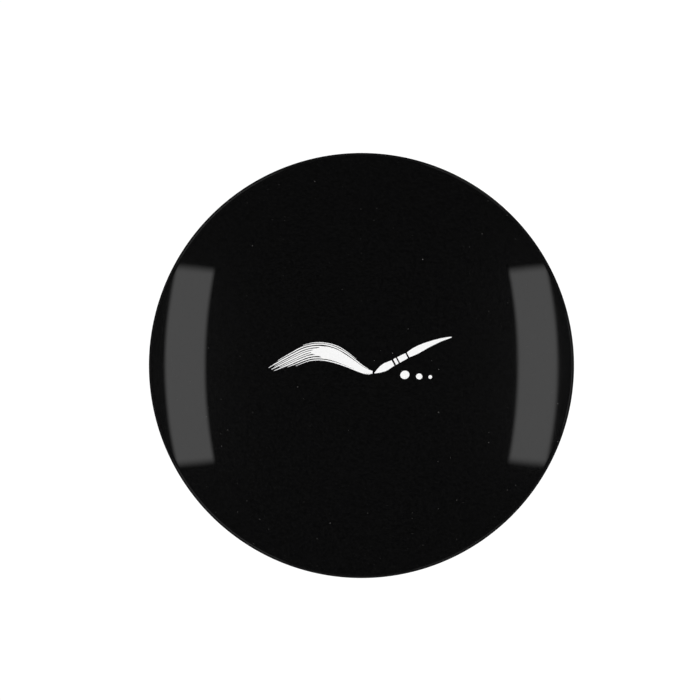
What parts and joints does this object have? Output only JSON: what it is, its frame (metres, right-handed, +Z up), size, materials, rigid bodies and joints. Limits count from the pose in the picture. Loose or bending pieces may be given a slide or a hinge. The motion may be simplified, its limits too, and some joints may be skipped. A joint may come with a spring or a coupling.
{
  "type": "round hinged wet palette",
  "caption": "Round domed clamshell wet palette: push-button lid over a lift-out water tray with sponge, paper disc and twist-lock paper ring.",
  "frame": {"origin": "centre of the plane that the feet rest on", "axes": "+Z up along the case's axis, +Y towards the hinge, -Y towards the push button, +X to the right"},
  "size_m": [0.12, 0.12, 0.0322],
  "materials": {
    "gloss_black": "gloss",
    "satin_black": "satin",
    "white_plastic": "satin",
    "grey_plastic": "satin",
    "silicone": "satin",
    "foot_rubber": "matte",
    "sponge": "matte",
    "parchment": "matte",
    "steel": "satin",
    "screw_black": "satin"
  },
  "bodies": {
    "base": {"base_shell": "gloss_black", "deck_ring": "satin_black", "deck_screws": "screw_black", "hinge_pin": "steel", "latch_retainer": "satin_black", "latch_retainer_screws": "screw_black", "latch_spring_left": "steel", "latch_spring_right": "steel", "water_tray": "white_plastic", "sponge_pad": "sponge", "palette_paper": "parchment", "foot_front_left": "foot_rubber", "foot_front_right": "foot_rubber", "foot_rear_left": "foot_rubber", "foot_rear_right": "foot_rubber"},
    "lid": {"lid_shell": "gloss_black", "lid_ring": "satin_black", "lid_gasket": "silicone", "lid_liner": "white_plastic"},
    "latch_button": {"latch_button": "gloss_black"},
    "paper_ring": {"paper_ring": "grey_plastic"}
  },
  "joints": [
    {"name": "lid_hinge", "type": "hinge", "parent": "base", "child": "lid", "pos_m": [0, 0.0568, 0.0138], "axis": [-1, 0, 0], "range_deg": [0, 115]},
    {"name": "latch_button_press", "type": "slide", "parent": "base", "child": "latch_button", "axis": [0, 1, 0], "range_m": [0, 0.0015], "stiffness_N_per_m": 900, "springref_m": -0.0008, "deforming": ["latch_spring_left", "latch_spring_right"]},
    {"name": "paper_ring_twist", "type": "hinge", "parent": "base", "child": "paper_ring", "pos_m": [0, 0, 0.0139], "axis": [0, 0, 1], "range_deg": [0, 22]}
  ]
}
